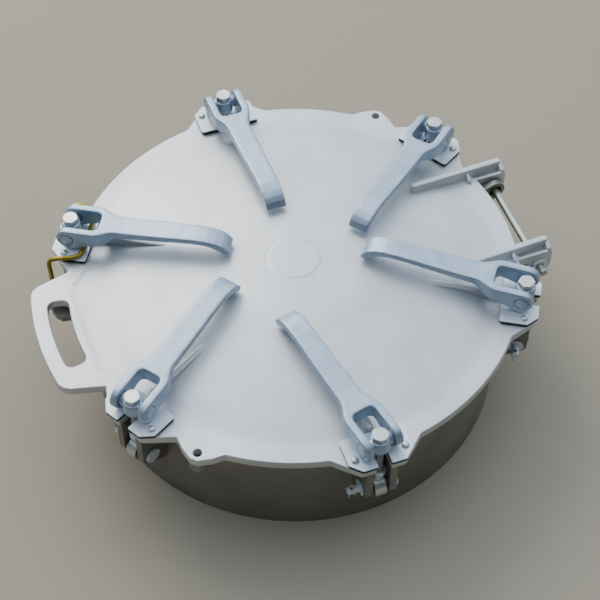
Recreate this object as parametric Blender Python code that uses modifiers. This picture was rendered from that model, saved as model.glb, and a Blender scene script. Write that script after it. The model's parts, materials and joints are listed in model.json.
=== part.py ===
"""Hinged manhole cover on its welded neck, with six lever clamps.

A cast lid closes a short neck of 500 mm bore. Six swing clamps hold it: each is
an eye rod on a pin between two lugs of the neck, a hex bolt screwed into the rod,
a trunnion under the bolt's head, and a forked cam lever on the trunnion.

Run with: blender --background --python part.py
Metres, +Z up. The origin is the centre of the neck's bottom face. The hinge is at
+Y and the handle at -Y. Clamp 1 is at +X, and the others follow anticlockwise.
"""

import math

import bmesh
import bpy
from mathutils import Matrix, Vector

# ---------------------------------------------------------------- driving sizes
RING_STEPS = 72  # straight sides in a full turn of a large ring
GAP = 0.0003  # left between two pieces that touch

# neck
BORE_R = 0.250
NECK_WALL = 0.010
NECK_TOP = 0.1565
FLANGE_OVERHANG = 0.017
FLANGE_THICK = 0.009

# lid
SEAM = 0.0006  # between the neck's top face and the lid's rim
LID_OVERHANG = 0.020
LID_THICK = 0.012
DOME_RISE = 0.0225
DOME_WALL = 0.008
DOME_INSET = 0.025  # the dome starts this far inside the lid's edge
RIB_WIDTH = 0.009
RIB_HEIGHT = 0.0133
RIB_INNER_R = 0.148

# gasket
GASKET_WIDTH = 0.008
GASKET_HEIGHT = 0.0045
GASKET_INSET = 0.009  # from the lid's edge to the gasket

# clamps
CLAMPS = 6
CLAMP_OUTSET = 0.003  # bolt axis beyond the lid's edge
LEVER_YAWS = (12.2, -7.0, 9.1, 1.3, -0.3, 8.3)  # degrees from radial, at rest
PIN_Z = 0.105
PIN_R = 0.0048
PIN_HEAD_R = 0.0100
PIN_HEAD_THICK = 0.0035
PIN_TAIL = 0.017  # beyond the lug, for the split pin
EYE_R = 0.016
EYE_THICK = 0.014
SHANK_R = 0.008
SOCKET_TOP = 0.034  # above the pin
LUG_THICK = 0.009
LUG_R = 0.0135  # of a lug's outer end round the pin
LUG_CLEAR = 0.0035  # between the eye and a lug
BOLT_R = 0.0058
BOLT_END = 0.013  # above the pin
HEAD_ACROSS = 0.0180
HEAD_THICK = 0.0078
BARREL_R = 0.008
BOSS_R = 0.0118
BOSS_TOP = 0.0078
BOSS_DEPTH = 0.011
FIT = 0.0004  # round a shaft in its hole

# wear plates and their pads
PAD_THICK = 0.0037
PLATE_THICK = 0.0016
PLATE_HALF = 0.0385
PLATE_INNER = 0.0255  # inside the bolt axis
PLATE_OUTER = 0.0195  # outside the bolt axis
PLATE_CHAMFER = (0.012, 0.0125)
SLOT_HALF = 0.009
SLOT_DEPTH = 0.013  # inside the bolt axis

# levers, measured inwards (u), sideways (v) and up (w) from the trunnion's axis
EAR_R = 0.0135
CAM_R = 0.0177
CAM_FALL = 35.0  # degrees over which the cam falls from CAM_R to EAR_R
FORK_HALF = 0.0245
WINDOW_HALF = 0.0145
WINDOW_END = 0.038
SHOULDER = (0.033, 0.060)
BAR_HALF = (0.0148, 0.0130)
LEVER_LENGTH = 0.205
BAR_UNDER = ((0.007, -0.0162), (0.018, -0.0110), (0.030, -0.0072), (0.046, -0.0060),
             (0.056, 0.0010), (0.064, 0.0042), (0.098, 0.0072), (0.128, 0.0100),
             (0.154, 0.0122), (0.171, 0.0126), (0.181, 0.0105), (0.190, 0.0060),
             (0.196, 0.0015))
BAR_TOP = ((0.200, 0.0110), (0.194, 0.0158), (0.186, 0.0190), (0.175, 0.0208),
           (0.160, 0.0210), (0.126, 0.0190), (0.098, 0.0168), (0.070, 0.0153),
           (0.040, 0.0155), (0.010, 0.0152))
TIP_LOW = (0.1985, -0.0010)
TIP_HIGH = (0.2048, 0.0030)

# lid outline: lugs at the clamps, handle, ears with a hole
LUG_ROOT_HALF = 0.0555
LUG_SHOULDER = (0.008, 0.041)
LUG_FACE = (0.0205, 0.0265)
HANDLE_OUT = 0.0455  # beyond the lid's edge
HANDLE_ROOT_DEG = 19.0
HANDLE_ARC_DEG = 12.4
HANDLE_SLOT = (0.0002, 0.0265)  # inner and outer edge, beyond the lid's edge
HANDLE_SLOT_DEG = 9.9
SLOT_ROUND = 0.009
EAR_AT = (138.0, 318.0)
EAR_HOLE_R = 0.005
EAR_HOLE_OUT = 0.0075
EAR_TIP_OUT = 0.0178

# hinge
HINGE_OUT = 0.0185  # rod axis beyond the lid's edge
HINGE_DROP = 0.0221  # rod axis below the lid's top
ROD_R = 0.005
ARM_AT = 0.0705
ARM_WIDTH = 0.021
ARM_BOSS_R = 0.0165
ARM_ROOT = 0.018  # inside the lid's edge
ARM_RIB_TOP = (0.0209, 0.0096)  # above the lid, at its tip and at its outer end
ARM_RIB_TIP = 0.1803
ARM_RIB_LEAN = 0.0130  # sideways from its outer end to its tip
ARM_POCKET_DEPTH = 0.005
KNUCKLE_THICK = 0.008
KNUCKLE_R = 0.0135
KNUCKLE_HOLE_R = 0.0088
KNUCKLE_SHIFT = Vector((0.0, -0.0015, 0.0028))  # the rod hangs low in the hole
KNUCKLE_GAP = 0.002
WASHER_R = 0.011
WASHER_THICK = 0.0025
ROD_TAIL = 0.012

# split pins
SPLIT_HOLE_R = 0.0021
SPLIT_WIRE_R = 0.0007
SPLIT_LEG = 0.011
HINGE_SPLIT_LEG = 0.0165

# safety catch
WIRE_R = 0.0030
CATCH_TAB_TOP = 0.0083  # below the neck's top
CATCH_TAB_THICK = 0.009

# ------------------------------------------------------------- worked-out places
NECK_R = BORE_R + NECK_WALL
FLANGE_R = NECK_R + FLANGE_OVERHANG
LID_R = NECK_R + LID_OVERHANG
HANDLE_OUTER_R = LID_R + HANDLE_OUT
RIM_LOW = NECK_TOP + SEAM
LID_TOP = RIM_LOW + LID_THICK
DOME_R = LID_R - DOME_INSET
CLAMP_R = LID_R + CLAMP_OUTSET
PLATE_TOP = LID_TOP + GAP + PAD_THICK + GAP + PLATE_THICK
TRUNNION_Z = PLATE_TOP + GAP + CAM_R
HINGE_Y = LID_R + HINGE_OUT
HINGE_Z = LID_TOP - HINGE_DROP
LUG_IN = EYE_THICK / 2 + LUG_CLEAR
LUG_OUT = LUG_IN + LUG_THICK
ARM_OUT = ARM_AT + ARM_WIDTH / 2
ARM_IN = ARM_AT - ARM_WIDTH / 2

PARTS = "manhole_cover"
HELPERS = "cutters"


# ------------------------------------------------------------------ scene helpers
def clear_scene():
    for thing in list(bpy.data.objects):
        bpy.data.objects.remove(thing)


def collection(name, hidden=False):
    made = bpy.data.collections.new(name)
    made.hide_render = hidden
    bpy.context.scene.collection.children.link(made)
    return made


def material(name, colour, roughness, metallic):
    made = bpy.data.materials.new(name)
    made.use_nodes = True
    shader = made.node_tree.nodes["Principled BSDF"]
    shader.inputs["Base Color"].default_value = (*colour, 1)
    shader.inputs["Roughness"].default_value = roughness
    shader.inputs["Metallic"].default_value = metallic
    return made


def circle_points(radius, start, end, steps, centre=(0, 0)):
    """Points on an arc, from one angle to another in degrees."""
    angles = [math.radians(start + (end - start) * i / steps) for i in range(steps + 1)]
    return [(centre[0] + radius * math.cos(a), centre[1] + radius * math.sin(a))
            for a in angles]


def polar(radius, degrees):
    return (radius * math.cos(math.radians(degrees)),
            radius * math.sin(math.radians(degrees)))


def mesh_from(thing, weld=True):
    """The evaluated mesh of a helper object. A curve's or a profile's mesh is welded."""
    bpy.context.view_layer.update()
    graph = bpy.context.evaluated_depsgraph_get()
    mesh = bpy.data.meshes.new_from_object(thing.evaluated_get(graph))
    mesh.transform(thing.matrix_world)
    if weld:
        shape = bmesh.new()
        shape.from_mesh(mesh)
        bmesh.ops.remove_doubles(shape, verts=shape.verts, dist=1e-6)
        bmesh.ops.recalc_face_normals(shape, faces=shape.faces)
        shape.to_mesh(mesh)
        shape.free()
    bpy.data.objects.remove(thing)
    return mesh


def scratch_object(data):
    thing = bpy.data.objects.new("scratch", data)
    bpy.data.collections[HELPERS].objects.link(thing)
    return thing


def prism(outline, low, high):
    """A flat outline in X and Y, filled between two heights."""
    curve = bpy.data.curves.new("outline", "CURVE")
    curve.dimensions = "2D"
    curve.fill_mode = "BOTH"
    curve.extrude = (high - low) / 2
    spline = curve.splines.new("POLY")
    spline.points.add(len(outline) - 1)
    for point, (x, y) in zip(spline.points, outline):
        point.co = (x, y, 0, 1)
    spline.use_cyclic_u = True
    thing = scratch_object(curve)
    thing.location.z = (high + low) / 2
    return mesh_from(thing)


def side_prism(outline, half_width, middle=0.0):
    """An outline of (x, z) points, filled across Y."""
    mesh = prism(outline, -half_width, half_width)
    mesh.transform(Matrix.Translation((0, middle, 0)) @ Matrix.Rotation(math.pi / 2, 4, "X"))
    return mesh


def cylinder(radius, low, high, sides=24, axis="Z", centre=(0, 0, 0)):
    """A round bar between two places on an axis."""
    shape = bmesh.new()
    bmesh.ops.create_cone(shape, cap_ends=True, segments=sides, radius1=radius,
                          radius2=radius, depth=high - low)
    turn = {"Z": Matrix(), "X": Matrix.Rotation(math.pi / 2, 4, "Y"),
            "Y": Matrix.Rotation(-math.pi / 2, 4, "X")}[axis]
    lift = Matrix.Translation((0, 0, (low + high) / 2))
    shape.transform(Matrix.Translation(centre) @ turn @ lift)
    mesh = bpy.data.meshes.new("bar")
    shape.to_mesh(mesh)
    shape.free()
    return mesh


def box(low, high):
    shape = bmesh.new()
    bmesh.ops.create_cube(shape, size=1)
    size = [b - a for a, b in zip(low, high)]
    middle = [(a + b) / 2 for a, b in zip(low, high)]
    shape.transform(Matrix.Translation(middle) @ Matrix.Diagonal((*size, 1)))
    mesh = bpy.data.meshes.new("box")
    shape.to_mesh(mesh)
    shape.free()
    return mesh


def turned(profile, steps):
    """A closed profile of (radius, height) points turned about Z."""
    mesh = bpy.data.meshes.new("profile")
    count = len(profile)
    closed = all(radius > 0 for radius, _ in profile)
    edges = [(i, (i + 1) % count) for i in range(count if closed else count - 1)]
    mesh.from_pydata([(radius, 0, height) for radius, height in profile], edges, [])
    thing = scratch_object(mesh)
    screw = thing.modifiers.new("turn", "SCREW")
    screw.steps = screw.render_steps = steps
    screw.use_merge_vertices = True
    screw.merge_threshold = 0.00001
    return mesh_from(thing)


def joined(meshes):
    """Several solids that don't touch, as one mesh."""
    shape = bmesh.new()
    for mesh in meshes:
        shape.from_mesh(mesh)
    made = bpy.data.meshes.new("joined")
    shape.to_mesh(made)
    shape.free()
    return made


def combine(mesh, other, operation):
    """The union, difference or intersection of two solids."""
    thing = scratch_object(mesh)
    tool = scratch_object(other)
    modifier = thing.modifiers.new(operation, "BOOLEAN")
    modifier.operation = operation
    modifier.solver = "EXACT"
    modifier.object = tool
    made = mesh_from(thing, weld=False)
    bpy.data.objects.remove(tool)
    return made


def moved(mesh, matrix):
    copy = mesh.copy()
    copy.transform(matrix)
    return copy


def turn_z(degrees):
    return Matrix.Rotation(math.radians(degrees), 4, "Z")


def around(mesh):
    """The solid once at each clamp."""
    return joined([moved(mesh, turn_z(360 / CLAMPS * i)) for i in range(CLAMPS)])


def wire(points, radius, sides=2):
    """A round wire through the points, with closed ends."""
    curve = bpy.data.curves.new("wire", "CURVE")
    curve.dimensions = "3D"
    curve.bevel_depth = radius
    curve.bevel_resolution = sides
    curve.use_fill_caps = True
    spline = curve.splines.new("POLY")
    spline.points.add(len(points) - 1)
    for point, place in zip(spline.points, points):
        point.co = (*place, 1)
    return mesh_from(scratch_object(curve))


def add_part(name, mesh, finish, place=None):
    mesh.name = name
    mesh.materials.clear()
    mesh.materials.append(finish)
    mesh.shade_smooth()
    mesh.set_sharp_from_angle(angle=math.radians(35))
    thing = bpy.data.objects.new(name, mesh)
    if place is not None:
        thing.matrix_world = place
    bpy.data.collections[PARTS].objects.link(thing)
    return thing


# -------------------------------------------------------------------------- neck
def neck_tab(degrees, outline, top, thick):
    """A tab that stands out of the neck."""
    return moved(prism(outline, top - thick, top), turn_z(degrees))


def neck_ear():
    """The neck's half of an ear, narrower than the lid's."""
    half = [(LID_R + EAR_TIP_OUT - 0.0015, 0.0050), (LID_R + EAR_TIP_OUT - 0.0065, 0.0110),
            (LID_R - 0.002, 0.0135), (NECK_R + 0.004, 0.0135)]
    return half + [(x, -y) for x, y in reversed(half)]


def ear_outline(out, root_deg, root_r):
    """A blunt ear round the X axis, from inside a rim to its tip."""
    half = [(LID_R + out, 0.0045), (LID_R + out - 0.009, 0.0190),
            polar(LID_R - 0.0006, root_deg), polar(root_r, root_deg)]
    return half + [(x, -y) for x, y in reversed(half)]


def clamp_lugs():
    """Two lugs side by side, on the X axis, that carry a clamp's pin."""
    edge = LUG_R
    low = PIN_Z - 0.030
    side = ([(NECK_R - 0.003, NECK_TOP), (NECK_R - 0.003, low), (NECK_R + 0.004, low)]
            + circle_points(edge, -75, 0, 5, (CLAMP_R, PIN_Z))
            + [(CLAMP_R + edge, NECK_TOP)])
    middle = (LUG_IN + LUG_OUT) / 2
    return [side_prism(side, LUG_THICK / 2, s * middle) for s in (-1, 1)]


def knuckles():
    """The neck's two hinge lugs, with holes wider than the rod."""
    y, z = HINGE_Y + KNUCKLE_SHIFT.y, HINGE_Z + KNUCKLE_SHIFT.z
    root = NECK_R - 0.008
    outline = ([(root, z + 0.003), (root, z - 0.045)]
               + circle_points(KNUCKLE_R, -60, 100, 9, (y, z))
               + [(FLANGE_R - 0.004, z + 0.003)])
    made = []
    for side in (-1, 1):
        x = side * (ARM_IN - KNUCKLE_GAP - KNUCKLE_THICK / 2)
        mesh = side_prism(outline, KNUCKLE_THICK / 2)
        made.append(moved(mesh, Matrix.Translation((x, 0, 0)) @ turn_z(90)))
    return made


def make_neck(finish):
    low = NECK_TOP - FLANGE_THICK
    ring = turned([(BORE_R, NECK_TOP), (FLANGE_R, NECK_TOP), (FLANGE_R, low),
                   (NECK_R, low), (NECK_R, 0), (BORE_R, 0)], RING_STEPS)
    lugs = [moved(lug, turn_z(360 / CLAMPS * i)) for lug in clamp_lugs() for i in range(CLAMPS)]
    tabs = [neck_tab(at, neck_ear(), NECK_TOP, 0.015) for at in EAR_AT]
    reach = FLANGE_R + 0.028
    catch = [polar(NECK_R - 0.004, 262), polar(NECK_R - 0.004, 250.6), polar(reach - 0.006, 250.6),
             polar(reach - 0.001, 251.6), polar(reach, 253.5), polar(reach, 257),
             polar(reach - 0.0025, 259.2), polar(reach - 0.008, 261), polar(reach - 0.014, 262)]
    tabs.append(neck_tab(0, catch, NECK_TOP - CATCH_TAB_TOP, CATCH_TAB_THICK))
    neck = combine(ring, joined(lugs + tabs), "UNION")
    neck = combine(neck, joined(knuckles()), "UNION")
    notch = box((CLAMP_R - EYE_R + 0.001, -LUG_IN, low - 0.01),
                (CLAMP_R + EYE_R + 0.01, LUG_IN, NECK_TOP + 0.01))
    neck = combine(neck, around(notch), "DIFFERENCE")
    bore = cylinder(PIN_R + FIT, -LUG_OUT - 0.01, LUG_OUT + 0.01, 12, "Y",
                    (CLAMP_R, 0, PIN_Z))
    neck = combine(neck, around(bore), "DIFFERENCE")
    y, z = HINGE_Y + KNUCKLE_SHIFT.y, HINGE_Z + KNUCKLE_SHIFT.z
    holes = [cylinder(KNUCKLE_HOLE_R, -ARM_IN, ARM_IN, 24, "X", (0, y, z))]
    for at in EAR_AT:
        centre = polar(LID_R + EAR_HOLE_OUT, at)
        holes.append(cylinder(EAR_HOLE_R, NECK_TOP - 0.03, NECK_TOP + 0.01, 16, "Z",
                              (*centre, 0)))
    neck = combine(neck, joined(holes), "DIFFERENCE")
    add_part("neck", neck, finish)


# --------------------------------------------------------------------------- lid
def dome_height(radius):
    """The dome's outer surface: a shallow bowl upside down."""
    return LID_TOP + DOME_RISE * (1 - (radius / DOME_R) ** 2)


def make_dome():
    rings = 6
    edge = DOME_R + 0.0035
    radii = [edge * i / rings for i in range(rings + 1)]
    outer = [(r, dome_height(r)) for r in radii]
    inner = [(r, dome_height(r) - DOME_WALL) for r in reversed(radii)]
    return turned(outer + inner, RING_STEPS)


def ray_exit(outline, degrees):
    """How far a ray from the origin runs before it leaves a convex outline, or 0."""
    direction = Vector(polar(1, degrees))
    furthest = 0.0
    for a, b in zip(outline, outline[1:] + outline[:1]):
        a, b = Vector(a), Vector(b)
        edge = b - a
        slope = direction.cross(edge)
        if abs(slope) < 1e-9:
            continue
        distance = a.cross(edge) / slope
        along = a.cross(direction) / slope
        if -1e-6 <= along <= 1 + 1e-6:
            furthest = max(furthest, distance)
    return furthest


def turned_points(points, degrees):
    matrix = Matrix.Rotation(math.radians(degrees), 2)
    return [tuple(matrix @ Vector(p)) for p in points]


def lid_features():
    """Convex outlines that stand out of the lid's circle."""
    inner = LID_R - 0.03
    root = math.sqrt(LID_R**2 - LUG_ROOT_HALF**2)
    half = [(LID_R + LUG_FACE[0], LUG_FACE[1]), (LID_R + LUG_SHOULDER[0], LUG_SHOULDER[1]),
            (root, LUG_ROOT_HALF), (inner, LUG_ROOT_HALF)]
    lug = half + [(x, -y) for x, y in reversed(half)]
    features = [turned_points(lug, 360 / CLAMPS * i) for i in range(CLAMPS)]
    features += [turned_points(ear_outline(EAR_TIP_OUT, 6.2, inner), at) for at in EAR_AT]
    bend = HANDLE_ARC_DEG
    half = ([polar(HANDLE_OUTER_R, bend * i / 6) for i in range(7)]
            + [polar(HANDLE_OUTER_R - 0.0028, bend + 1.4),
               polar(HANDLE_OUTER_R - 0.0095, bend + 2.5),
               polar(LID_R - 0.0002, HANDLE_ROOT_DEG), polar(inner, HANDLE_ROOT_DEG)])
    handle = half + [(x, -y) for x, y in reversed(half[1:])]
    features.append(turned_points(handle, 270))
    return features


def lid_outline():
    """The lid's edge: at each angle, the furthest of the circle and the features."""
    features = lid_features()
    angles = {round(360 / RING_STEPS * i, 4) for i in range(RING_STEPS)}
    for outline in features:
        for x, y in outline:
            if math.hypot(x, y) > LID_R - 0.001:
                angles.add(round(math.degrees(math.atan2(y, x)) % 360, 4))
    ordered = sorted(angles)
    kept = [a for i, a in enumerate(ordered) if i == 0 or a - ordered[i - 1] > 0.05]
    return [polar(max([LID_R] + [ray_exit(f, a) for f in features]), a) for a in kept]


def handle_slot():
    """The curved finger slot: two arcs with rounded ends."""
    inner, outer = LID_R + HANDLE_SLOT[0], LID_R + HANDLE_SLOT[1]
    middle = (inner + outer) / 2
    reach = HANDLE_SLOT_DEG
    turn = math.degrees(SLOT_ROUND / middle)
    points = [polar(outer, 270 - reach + turn + (2 * reach - 2 * turn) * i / 6) for i in range(7)]
    points += [polar(outer - SLOT_ROUND * 0.3, 270 + reach - turn * 0.3),
               polar(middle, 270 + reach), polar(inner + SLOT_ROUND * 0.3, 270 + reach - turn * 0.3)]
    points += [polar(inner, 270 + reach - turn - (2 * reach - 2 * turn) * i / 6) for i in range(7)]
    points += [polar(inner + SLOT_ROUND * 0.3, 270 - reach + turn * 0.3),
               polar(middle, 270 - reach), polar(outer - SLOT_ROUND * 0.3, 270 - reach + turn * 0.3)]
    return points


def clamp_rib():
    """A level rib on the X axis, from the dome to just inside the wear plate."""
    half = RIB_WIDTH / 2
    end = CLAMP_R - PLATE_INNER - 0.001 - half
    outline = [(RIB_INNER_R, -half)] + circle_points(half, -90, 90, 6, (end, 0)) + [(RIB_INNER_R, half)]
    mesh = prism(outline, 0, 1)
    reach = end + half - RIB_INNER_R
    inner_low = dome_height(RIB_INNER_R) - DOME_WALL / 2
    outer_low = LID_TOP - 0.003
    for vertex in mesh.vertices:
        share = (vertex.co.x - RIB_INNER_R) / reach
        low = inner_low + (outer_low - inner_low) * share
        vertex.co.z = low if vertex.co.z < 0.5 else LID_TOP + RIB_HEIGHT
    return mesh


def hinge_arm(side):
    """A hinge arm: a tray past the lid's edge, a boss round the rod, and a long rib."""
    x = side * ARM_AT
    left, right = x - ARM_WIDTH / 2, x + ARM_WIDTH / 2
    root = LID_R - ARM_ROOT
    y, z = HINGE_Y, HINGE_Z
    tray = ([(root, LID_TOP - 0.0004), (root, LID_TOP - LID_THICK + 0.0004),
             (LID_R + 0.0005, LID_TOP - LID_THICK - 0.001)]
            + circle_points(ARM_BOSS_R, -165, 0, 11, (y, z))
            + [(y + ARM_BOSS_R, LID_TOP - 0.003), (y + ARM_BOSS_R - 0.003, LID_TOP - 0.0004)])
    mesh = moved(side_prism(tray, ARM_WIDTH / 2), Matrix.Translation((x, 0, 0)) @ turn_z(90))
    half = RIB_WIDTH / 2
    rib_x, end = left + half, y + 0.006

    def lean(at):
        return rib_x + ARM_RIB_LEAN * (end - at) / (end - ARM_RIB_TIP)

    tip = ARM_RIB_TIP + half
    outline = ([(rib_x + half, end), (rib_x - half, end)]
               + circle_points(half, 180, 360, 6, (lean(tip), tip)))
    rib = prism(outline, 0, 1)
    for vertex in rib.vertices:
        here = vertex.co
        reach = math.hypot(here.x, here.y)
        low = dome_height(reach) - DOME_WALL / 2 if reach < DOME_R else LID_TOP - 0.004
        share = (here.y - ARM_RIB_TIP) / (end - ARM_RIB_TIP)
        high = LID_TOP + ARM_RIB_TOP[0] + (ARM_RIB_TOP[1] - ARM_RIB_TOP[0]) * share
        here.z = low if here.z < 0.5 else high
    cross = box((lean(root), root - 0.0025, LID_TOP - 0.004),
                (right - 0.001, root + 0.0025, LID_TOP + 0.0065))
    arm = combine(combine(mesh, rib, "UNION"), cross, "UNION")
    near, far = root + 0.008, y + ARM_BOSS_R - 0.008
    pocket = prism([(lean(near) + half, near), (right - 0.0038, near), (right - 0.0038, far),
                    (lean(far) + half, far)], LID_TOP - ARM_POCKET_DEPTH, LID_TOP + 0.03)
    return combine(arm, pocket, "DIFFERENCE")


def make_lid(finish):
    plate = prism(lid_outline(), RIM_LOW, LID_TOP)
    well = cylinder(DOME_R - 0.0085, RIM_LOW - 0.01, LID_TOP + 0.01, RING_STEPS)
    plate = combine(plate, well, "DIFFERENCE")
    lid = combine(plate, make_dome(), "UNION")
    lid = combine(lid, around(clamp_rib()), "UNION")
    lid = combine(lid, joined([hinge_arm(-1), hinge_arm(1)]), "UNION")
    slot = box((CLAMP_R - SLOT_DEPTH, -SLOT_HALF, RIM_LOW - 0.01),
               (CLAMP_R + 0.04, SLOT_HALF, LID_TOP + 0.01))
    cuts = [around(slot), prism(handle_slot(), RIM_LOW - 0.01, LID_TOP + 0.01)]
    for at in EAR_AT:
        centre = polar(LID_R + EAR_HOLE_OUT, at)
        cuts.append(cylinder(EAR_HOLE_R, RIM_LOW - 0.01, LID_TOP + 0.01, 16, "Z", (*centre, 0)))
    cuts.append(cylinder(ROD_R + FIT, -ARM_OUT - 0.01, ARM_OUT + 0.01, 16, "X",
                         (0, HINGE_Y, HINGE_Z)))
    lid = combine(lid, joined(cuts), "DIFFERENCE")
    outer = LID_R - GASKET_INSET + GAP
    inner = outer - GASKET_WIDTH - 2 * GAP
    deep = NECK_TOP + 2 * GAP + GASKET_HEIGHT
    groove = turned([(inner, deep), (outer, deep), (outer, RIM_LOW - 0.002),
                     (inner, RIM_LOW - 0.002)], RING_STEPS)
    add_part("lid", combine(lid, groove, "DIFFERENCE"), finish)


def make_gasket(finish):
    outer = LID_R - GASKET_INSET
    inner = outer - GASKET_WIDTH
    low = NECK_TOP + GAP
    high = low + GASKET_HEIGHT
    ring = turned([(inner, high), (outer, high), (outer, low), (inner, low)], RING_STEPS)
    add_part("lid_gasket", ring, finish)


# ------------------------------------------------------------------------ clamps
def plate_outline(grow=0.0):
    """A wear plate seen from above: two cut corners and a slot open outwards."""
    inner, outer = CLAMP_R - PLATE_INNER - grow, CLAMP_R + PLATE_OUTER + grow
    half = PLATE_HALF + grow
    cut = PLATE_CHAMFER
    right = [(CLAMP_R - SLOT_DEPTH, SLOT_HALF), (outer, SLOT_HALF), (outer, half - cut[1]),
             (outer - cut[0], half), (inner, half)]
    return right + [(x, -y) for x, y in reversed(right)]


def lever_side():
    """The lever seen from the side, as (inwards, up) points."""
    steps = 12
    ear = []
    for i in range(steps + 1):
        angle = 180 * i / steps
        grow = (CAM_R - EAR_R) * max(0.0, 1 - angle / CAM_FALL)
        top = (BAR_TOP[-1][1] - EAR_R) * max(0.0, (angle - 120) / 60)
        radius = EAR_R + grow + top
        turn = math.radians(angle)
        ear.append((-radius * math.sin(turn), -radius * math.cos(turn)))
    return ear[::-1] + list(BAR_UNDER) + [TIP_LOW, TIP_HIGH] + list(BAR_TOP)


def lever_plan():
    """The lever seen from above: a fork, a shoulder and a bar, as (inwards, sideways)."""
    start, end = SHOULDER
    half = [(-0.03, WINDOW_HALF), (-0.03, FORK_HALF), (start, FORK_HALF)]
    for i in range(1, 6):
        share = i / 6
        ease = share * share * (3 - 2 * share)
        half.append((start + (end - start) * share,
                     FORK_HALF + (BAR_HALF[0] - FORK_HALF) * ease))
    half += [(end, BAR_HALF[0]), (LEVER_LENGTH + 0.01, BAR_HALF[1])]
    corner = 0.006
    window = circle_points(corner, 0, 90, 3, (WINDOW_END - corner, WINDOW_HALF - corner))
    window = [(x, -y) for x, y in reversed(window)] + window
    return half + [(x, -y) for x, y in reversed(half)] + window


def make_lever():
    """The lever, with its bar along -X and its trunnion hole along Y."""
    side = side_prism([(-u, w) for u, w in lever_side()], FORK_HALF + 0.01)
    plan = prism([(-u, v) for u, v in lever_plan()], -0.05, 0.05)
    lever = combine(side, plan, "INTERSECT")
    bore = cylinder(BARREL_R + FIT, -FORK_HALF - 0.02, FORK_HALF + 0.02, 16, "Y")
    return combine(lever, bore, "DIFFERENCE")


def make_trunnion():
    barrel = cylinder(BARREL_R, -FORK_HALF, FORK_HALF, 16, "Y")
    boss = cylinder(BOSS_R, -BOSS_DEPTH, BOSS_TOP, 16)
    bore = cylinder(BOLT_R + FIT, -0.03, 0.03, 12)
    return combine(combine(barrel, boss, "UNION"), bore, "DIFFERENCE")


def make_bolt():
    """A hex bolt hanging from the trunnion, down into the eye rod."""
    seat = BOSS_TOP + GAP
    head = cylinder(HEAD_ACROSS / math.sqrt(3), seat, seat + HEAD_THICK, 6)
    low = PIN_Z + BOLT_END - TRUNNION_Z
    shank = cylinder(BOLT_R, low, seat + HEAD_THICK / 2, 12)
    return combine(head, shank, "UNION")


def make_eye_rod():
    eye = cylinder(EYE_R, -EYE_THICK / 2, EYE_THICK / 2, 20, "Y")
    shank = cylinder(SHANK_R, 0, SOCKET_TOP, 16)
    rod = combine(eye, shank, "UNION")
    bores = [cylinder(PIN_R + FIT, -EYE_THICK, EYE_THICK, 12, "Y"),
             cylinder(BOLT_R + FIT, BOLT_END - GAP, SOCKET_TOP + 0.01, 12)]
    return combine(rod, joined(bores), "DIFFERENCE")


def make_pin():
    """A clamp's pin: a head on one side, and a hole for the split pin on the other."""
    shank = cylinder(PIN_R, -LUG_OUT - PIN_TAIL, LUG_OUT + PIN_HEAD_THICK / 2, 12, "Y")
    seat = LUG_OUT + GAP
    head = cylinder(PIN_HEAD_R, seat, seat + PIN_HEAD_THICK, 16, "Y")
    hole = cylinder(SPLIT_HOLE_R, -0.01, 0.01, 8, "Z", (0, split_place(), 0))
    return combine(combine(shank, head, "UNION"), hole, "DIFFERENCE")


def split_place():
    return -LUG_OUT - PIN_TAIL + 0.005


def make_split_pin(shaft_r, leg):
    """A split pin through a shaft along Y: a ring on top, two bent legs below."""
    spread = SPLIT_WIRE_R + 0.0002
    ring = 0.0021
    top = shaft_r + 0.0012 + ring
    loop = circle_points(ring, -70, 250, 6, (0, top))
    low = -shaft_r - 0.0012
    right = [(spread, low), (spread, shaft_r + 0.0004)]
    left = [(-x, z) for x, z in reversed(right)]
    legs = [(spread + leg * 0.45, low - leg * 0.75), (spread + 0.0012, low - 0.002)]
    tail = [(-spread - 0.0008, low - 0.003), (-spread - leg * 0.2, low - leg * 0.85)]
    path = legs + right + loop + left + tail
    return wire([(0, x, z) for x, z in path], SPLIT_WIRE_R, 1)


def make_clamps(steel, forged, zinc, rubber):
    pad_low = LID_TOP + GAP
    plate_low = pad_low + PAD_THICK + GAP
    lever, trunnion, bolt = make_lever(), make_trunnion(), make_bolt()
    rod, pin, split = make_eye_rod(), make_pin(), make_split_pin(PIN_R, SPLIT_LEG)
    plate = prism(plate_outline(), plate_low, plate_low + PLATE_THICK)
    pad = prism(plate_outline(), pad_low, pad_low + PAD_THICK)
    for i, yaw in enumerate(LEVER_YAWS):
        name = f"clamp_{i + 1}"
        frame = bpy.data.objects.new(name, None)
        bpy.data.collections[PARTS].objects.link(frame)
        turn = turn_z(360 / CLAMPS * i)
        frame.matrix_world = turn
        low = turn @ Matrix.Translation((CLAMP_R, 0, PIN_Z))
        high = turn @ Matrix.Translation((CLAMP_R, 0, TRUNNION_Z))
        swivelled = high @ turn_z(yaw)
        pieces = (("lever", lever, forged, swivelled), ("trunnion", trunnion, forged, swivelled),
                  ("hex_bolt", bolt, steel, high), ("eye_rod", rod, steel, low),
                  ("pivot_pin", pin, zinc, low),
                  ("split_pin", split, steel, low @ Matrix.Translation((0, split_place(), 0))),
                  ("wear_plate", plate, zinc, turn), ("rubber_pad", pad, rubber, turn))
        for kind, mesh, finish, place in pieces:
            piece = add_part(f"{kind}_{i + 1}", mesh, finish)
            piece.parent = frame
            piece.matrix_world = place


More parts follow.
